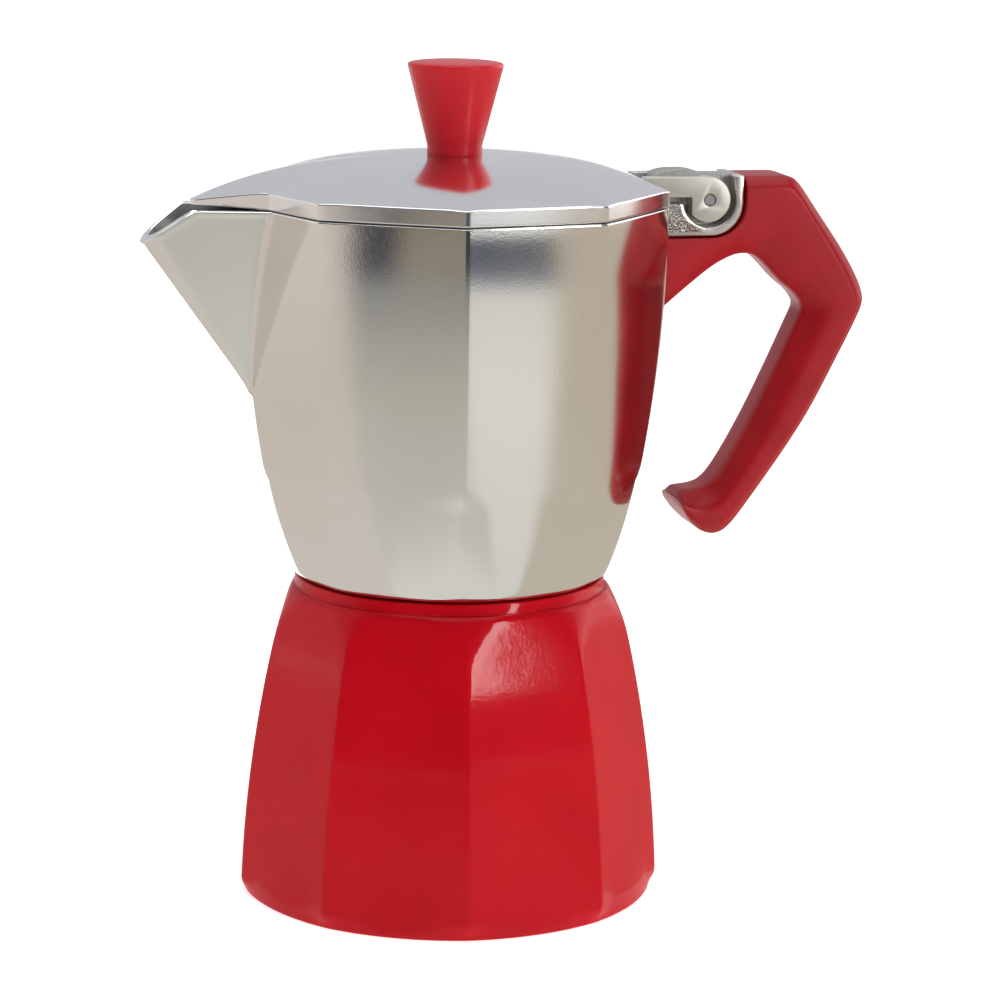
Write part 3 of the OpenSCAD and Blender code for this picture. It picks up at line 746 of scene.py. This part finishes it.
# ---------------------------------------------------------------- lid
def lid_outline(theta):
    phi = off_spout(theta)
    body = lid_flat * facet(theta) * crown(theta)
    inner_x, half, nose_centre, nose_round = 43.0, 16.2, 60.5, 3.0
    tongue = np.where(np.abs(phi) < spout_half, vee(phi, inner_x, half, nose_centre, nose_round), 1.0)
    return soft_max(body, tongue, 0.35)


def build_ears():
    """Two arms that run back from the lid and end in round ears on the hinge pin."""
    root, radius, cx, cz = 45.0, 5.45, pin_x - 0.3, pin_z + 0.1
    arm_low, notch_x, bore_r = pin_z + 0.75, cx - 4.2, 1.45
    ear = [(root, cz + radius)] + arc(cx, cz, radius, 90, -180, 40)
    ear = [p for p in ear if not (p[0] < cx - 3 and arm_low < p[1] < cz + radius - 0.5)]
    ear = [(max(x, notch_x), z) if z < arm_low else (x, z) for x, z in ear]
    ear += [(notch_x, arm_low), (root, arm_low)]
    for y0, y1, tag in ((-lug_half, -ear_in, "front"), (ear_in, lug_half, "back")):
        arm = prism("lid_ear_" + tag, ear, y0, y1, "lid", "polished_aluminium", [milled])
        cut(arm, *block(arc(pin_x, pin_z, bore_r, 0, 348.75, 31), y0 - 1, y1 + 1))
        soften(arm, 0.2)


def build_lid():
    angles = spouted_angles()
    cols = len(angles)
    edge = lid_outline(angles)
    droop, droop_from, sheet, lip, round_r = 0.195, 50.3, 1.8, 2.3, 50.0
    z_edge = lid_z + band_h - droop * np.clip(edge - droop_from, 0, None)
    on_tongue = smooth(50.5, 56.0, edge)

    def dome(u, drop=0.0):
        """Ring at share u of the way out: round near the knob, following the edge further out."""
        r = u * (edge - 0.4)
        mix = smooth(0.6, 1.0, np.full(cols, u))
        m = np.minimum(r / round_r, 1.0) * (1 - mix) + u * mix
        m = m * (1 - on_tongue) + u * on_tongue
        return r, z_edge + (dome_z - z_edge) * (1 - m ** 3) - drop

    rows = [dome(u) for u in [*np.linspace(0.01, 0.8, 24), *np.linspace(0.82, 1.0, 14)]]
    thick = np.minimum(z_edge - lid_z, 4.0)
    rows += [(edge - 0.17, z_edge - 0.07), (edge, z_edge - 0.28), (edge, z_edge - 0.42),
             (edge, z_edge - 0.5 * thick), (edge, lid_z + 0.42), (edge, lid_z + 0.25),
             (edge - 0.1, lid_z + 0.07), (edge - 0.25, lid_z), (edge - 1.9, lid_z), (edge - 2.2, lid_z + 0.3)]
    for u in (0.955, 0.9, 0.8, 0.6, 0.4, 0.2, 0.01):
        r, z = dome(u, sheet)
        rows.append((np.minimum(r, edge - lip), np.maximum(z, lid_z + 0.4)))
    verts, faces, _ = ring_mesh(angles, [(r, z, 0) for r, z in rows])
    obj = add_object("lid_shell", verts, faces, "lid", "polished_aluminium", [lid_metal])
    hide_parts("lid")
    notch_front = pin_x - 14.4
    notch = [(notch_front, lid_z - 3), (pin_x, lid_z - 3), (pin_x, lid_z + 20), (notch_front, lid_z + 20)]
    cut(obj, *block(notch, -ear_in, ear_in))
    build_ears()


build_lid()


# ---------------------------------------------------------------- knob
def build_knob():
    h, foot, flare_low, flare_top = knob_h, knob_foot_r, 2.5, knob_h - 1.9
    top_r, top_drop = knob_r - 0.55, 0.68
    prof = [(0, 0), (foot - 0.5, 0), (foot - 0.12, 0.12), (foot, 0.5), (foot, 1.5),
            (foot - 0.04, 2.0), (foot + 0.02, flare_low)]
    for k in range(1, 13):
        t = k / 13
        prof.append((foot + 0.02 + (knob_r - 0.12 - foot) * t, flare_low + (flare_top - flare_low) * t))
    prof += [(knob_r - 0.06, h - 1.75), (knob_r, h - 1.45), (knob_r - 0.02, h - 1.15),
             (knob_r - 0.2, h - 0.85), (top_r, h - top_drop)]
    for k in range(1, 10):
        r = top_r * (1 - k / 10)
        prof.append((r, h - top_drop + top_drop * (1 - (r / knob_r) ** 2) * 0.98))
    prof.append((0, h))
    prof = [(r, z + knob_z) for r, z in prof]
    obj = lathe("knob_body", prof, "lid", "red_plastic", [knob_plastic_painted_light])
    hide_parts("knob")


build_knob()

# ---------------------------------------------------------------- handle
# Outer and inner edge of the grip, [x, z] from the rim, from the lug down to the hook
handle_rail = [
    [[-2, 6.2], [-2, -29.8]], [[13, 6.2], [13.2, -17]], [[21, 6.2], [18.3, -14]],
    [[28, 6.2], [22, -12.8]], [[33.4, 6.2], [25.5, -13.3]], [[35.8, 4.2], [28.5, -16.1]],
    [[40.2, -2.2], [32, -20]], [[47.6, -12.5], [35.5, -22.6]], [[52, -20.5], [37.4, -25]],
    [[53, -24.5], [37.8, -26.8]], [[51.4, -28.8], [36.6, -29.4]], [[46, -39.6], [31.6, -40.6]],
    [[40, -51.4], [26.2, -52]], [[33.6, -61.4], [21.6, -60.6]], [[25.6, -72.6], [17.8, -66.8]],
    [[20.4, -79.6], [15.2, -69.6]], [[17, -81.8], [12.2, -70.6]], [[13, -81], [9, -70.8]],
    [[9.6, -77.9], [7.8, -71.2]], [[8, -75.4], [7.2, -72.6]],
]


def chaikin(points, times):
    """Rounds a path by cutting its corners."""
    pts = [np.array(p, float) for p in points]
    for _ in range(times):
        out = [pts[0]]
        for a, b in zip(pts, pts[1:]):
            out += [a * 0.75 + b * 0.25, a * 0.25 + b * 0.75]
        out.append(pts[-1])
        pts = out
    return pts


def build_handle():
    half, inner_half, crease, chamfer = 9.5, 4.6, 0.36, 2.5
    stations = chaikin([[*o, *i] for o, i in handle_rail], 3)
    rings = []
    for s in stations:
        o, i = s[:2], s[2:]
        t = np.linalg.norm(i - o)
        d = (i - o) / t
        e = min(chamfer, t * 0.3)
        side = [(0, half - e), (e, half), (t * (1 - crease), half), (t, inner_half)]
        corners = [(x, -y) for x, y in side] + side[::-1]
        radii = [min(r, t * 0.16) for r in (1.0, 1.0, 2.4, 1.5, 1.5, 2.4, 1.0, 1.0)]
        rings.append([(rim_flat + o[0] + d[0] * p[0], p[1], rim_z + o[1] + d[1] * p[0])
                      for p in rounded(corners, radii, 4)])
    # Rounded end of the hook
    last = np.array(rings[-1])
    centre = last.mean(axis=0)
    ahead = np.array([-0.7, 0, 0.6])
    for k in (1, 2, 3):
        a = k * math.pi / 7
        rings.append([tuple(centre + (p - centre) * math.cos(a) + ahead * math.sin(a) * 0.9)
                      for p in last])
    verts = [p for ring in rings for p in ring]
    obj = add_object("handle_grip", verts, tube_faces(len(rings), len(rings[0])), "jug",
                     "red_plastic", [red_plastic])
    # Room for the jug, the lug and the screw's head
    gap, wide, tall = 0.4, 40, 30
    wall = [(float(jug_profile(z)) + gap, float(z)) for z in np.linspace(rim_z, skirt_z, 30)]
    cut(obj, *block([(0, rim_z + tall), (rim_flat + gap, rim_z + tall)] + wall + [(0, skirt_z)], -wide, wide))
    front, top = rim_flat - 6, lug_top + 20
    lug = [(front, lug_bottom - gap)] + lug_arc(lug_corner + gap, 20) + [(lug_back + gap, top), (front, top)]
    cut(obj, *block(lug, -wide, wide))
    screw_x, screw_r, screw_low, n = pin_x - 2, 3.5, 120.0, 32
    screw = [(screw_x + screw_r * math.cos(a), screw_r * math.sin(a))
             for a in np.linspace(0, 2 * math.pi, n + 1)[:-1]]
    cut(obj, [(x, y, z) for z in (screw_low, lug_bottom - screw_seat) for x, y in screw], prism_faces(n))
    soften(obj, 0.35, 45)
    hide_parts("handle")


build_handle()

# ---------------------------------------------------------------- softened edges on the carried CAD pieces
for name in ("valve_body", "valve_washer", "valve_plunger", "funnel_tube", "column",
             "handle_screw", "hinge_pin", "knob_washer", "knob_screw", "gasket"):
    soften(nodes[name], 0.15, 35, 2)

# ---------------------------------------------------------------- floor
floor_mat, tree, bsdf = new_material("pale_glowing_floor")
bsdf.inputs["Base Color"].default_value = (0.86, 0.86, 0.86, 1)
bsdf.inputs["Roughness"].default_value = 0.9
bsdf.inputs["Specular IOR Level"].default_value = 0.1
# Painted light: the floor glows by itself, less near the pot than far from it
bsdf.inputs["Emission Color"].default_value = (1, 0.995, 0.985, 1)
coords = node(tree, "ShaderNodeTexCoord")
away = node(tree, "ShaderNodeVectorMath", operation="LENGTH")
tree.links.new(coords.outputs["Object"], away.inputs[0])
painted_floor_glow = ramp(tree, away.outputs["Value"], 0.64, 1.05, (0.7, 2.6))     # painted light: the floor glows, dimmer near the pot and brighter far from it
tree.links.new(painted_floor_glow, bsdf.inputs["Emission Strength"])
mesh = bpy.data.meshes.new("floor")
size = 40.0
mesh.from_pydata([(-size, -size, 0), (size, -size, 0), (size, size, 0), (-size, size, 0)],
                 [], [(0, 1, 2, 3)])
mesh.materials.append(floor_mat)
floor = link(bpy.data.objects.new("floor", mesh))

# ---------------------------------------------------------------- lights
centre = Vector((0, 0, 0.1))


def softbox(name, azimuth, elevation, distance, width, height, power):
    """azimuth: 0 is in front of the pot, 90 on its handle side; lengths in m, power in W."""
    a, e = math.radians(azimuth), math.radians(elevation)
    place = centre + distance * Vector((math.sin(a) * math.cos(e), -math.cos(a) * math.cos(e),
                                        math.sin(e)))
    data = bpy.data.lights.new(name, "AREA")
    data.shape = "RECTANGLE"
    data.size, data.size_y = width, height
    data.energy = power
    obj = link(bpy.data.objects.new(name, data))
    obj.location = place
    obj.rotation_euler = (centre - place).to_track_quat("-Z", "Y").to_euler()


softbox("key_right", 35.4, 15.5, 1.3, 0.13, 0.53, 4.4)
softbox("fill_left", -118, 12, 1.4, 1.5, 1.6, 1.3)
softbox("side_right", 116, 12, 1.4, 1.3, 1.5, 6.5)
softbox("top", 0, 84, 1.3, 1.5, 1.5, 10.5)


def painted_reflection_card():
    """A glowing card that paints what the pot's sides mirror in front of it: a table bright near the pot and
    dark at its far edge, with lighter strips to the left and right. Only reflections see it."""
    m = bpy.data.materials.new("painted_reflection_card")
    m.use_nodes = True
    tree = m.node_tree
    tree.nodes.clear()
    out = node(tree, "ShaderNodeOutputMaterial")
    emit = node(tree, "ShaderNodeEmission")
    tree.links.new(emit.outputs[0], out.inputs["Surface"])
    coords = node(tree, "ShaderNodeTexCoord")
    split = split_xyz(tree, coords.outputs["Object"])
    x, y = split["X"], math_node(tree, "MULTIPLY", split["Y"], -1.0)
    az = math_node(tree, "MULTIPLY", math_node(tree, "ARCTAN2", x, y), 180 / math.pi)
    far_end = 2.0
    far = math_node(tree, "DIVIDE", length(tree, x, y), far_end)

    def radial(stops):
        """Colours at distances from the pot's axis, in metres."""
        return colours(tree, far, [(d / far_end, c) for d, c in stops])

    def mix(a, b, factor):
        n = node(tree, "ShaderNodeMix", data_type="RGBA")
        tree.links.new(factor, n.inputs[0])
        tree.links.new(a, n.inputs[6])
        tree.links.new(b, n.inputs[7])
        return n.outputs[2]

    # Painted reflections: the colours the card shows by distance from the pot, ahead, to each side and in the
    # strips
    front = radial([(0.12, (0.70, 0.69, 0.64)), (0.16, (0.60, 0.59, 0.54)), (0.22, (0.55, 0.53, 0.486)),
                    (0.37, (0.48, 0.467, 0.41)), (0.6, (0.34, 0.335, 0.31)), (0.75, (0.27, 0.27, 0.26)),
                    (0.9, (0.09, 0.093, 0.105)), (1.05, (0.045, 0.05, 0.06))])
    bronze = radial([(0.12, (0.70, 0.69, 0.64)), (0.22, (0.54, 0.52, 0.475)), (0.37, (0.47, 0.455, 0.395)),
                     (0.65, (0.33, 0.32, 0.29)), (0.9, (0.28, 0.255, 0.21)), (1.6, (0.25, 0.22, 0.17))])
    strip = radial([(0.12, (0.70, 0.69, 0.66)), (0.22, (0.74, 0.717, 0.664)), (0.37, (0.78, 0.755, 0.70)),
                    (0.74, (0.70, 0.685, 0.64)), (0.86, (0.20, 0.21, 0.24)), (1.0, (0.11, 0.12, 0.14)),
                    (1.3, (0.10, 0.11, 0.13)), (1.42, (1.2, 1.2, 1.15))])
    left = radial([(0.12, (0.64, 0.60, 0.55)), (0.4, (0.61, 0.544, 0.48)), (0.9, (0.66, 0.592, 0.53))])
    right = radial([(0.12, (0.55, 0.50, 0.42)), (0.4, (0.53, 0.467, 0.385)), (0.8, (0.52, 0.455, 0.37))])
    result = mix(front, bronze, ramp(tree, az, 0.0, 1.0, (-47.2, -46.2)))
    result = mix(result, front, ramp(tree, az, 0.0, 1.0, (-20, 0)))
    result = mix(result, strip, ramp(tree, az, 0.0, 1.0, (24, 27)))
    result = mix(result, right, ramp(tree, az, 0.0, 1.0, (34.2, 35.6)))
    result = mix(result, left, ramp(tree, az, 1.0, 0.0, (-50.3, -50.0)))
    tree.links.new(result, emit.inputs["Color"])
    emit.inputs["Strength"].default_value = 1.0
    reach, inner, lift, sweep, steps = 4.0, 0.058, 0.001, 300, 48
    verts = []
    for k in range(steps + 1):
        a = math.radians(sweep * (k / steps - 0.5))
        verts += [(r * math.sin(a), -r * math.cos(a), lift) for r in (inner, reach)]
    faces = [(2 * k, 2 * k + 2, 2 * k + 3, 2 * k + 1) for k in range(steps)]
    mesh = bpy.data.meshes.new("painted_reflection_card")
    mesh.from_pydata(verts, [], faces)
    mesh.materials.append(m)
    card = link(bpy.data.objects.new("painted_reflection_card", mesh))
    card.visible_camera = False
    card.visible_diffuse = False
    card.visible_shadow = False


painted_reflection_card()

# The room: grey-white behind and above, dark in front
world = bpy.data.worlds.new("studio")
world.use_nodes = True
tree = world.node_tree
back = tree.nodes["Background"]
coords = node(tree, "ShaderNodeTexCoord")
depth = split_xyz(tree, coords.outputs["Generated"])["Y"]
shade = ramp(tree, depth, 0.06, 0.6, (-0.25, 0.15))
tree.links.new(shade, back.inputs["Strength"])
back.inputs["Color"].default_value = (0.94, 0.96, 1.0, 1)
bpy.context.scene.world = world
bpy.context.scene.view_settings.view_transform = "Standard"

# ---------------------------------------------------------------- camera
camera_data = bpy.data.cameras.new("camera")
camera_data.lens, camera_data.sensor_width = 130.874, 36
camera = link(bpy.data.objects.new("camera", camera_data))
# Pose and lens fitted to the outlines in the photo
turn = Matrix(((0.97108466, 0.03296706, -0.2364482),
               (-0.23825959, 0.19632839, -0.95115064),
               (0.01506485, 0.97998385, 0.1985062)))
camera.matrix_world = Matrix.Translation(Vector((-0.19637583, -0.83986317, 0.2701224))) @ turn.to_4x4()
bpy.context.scene.camera = camera
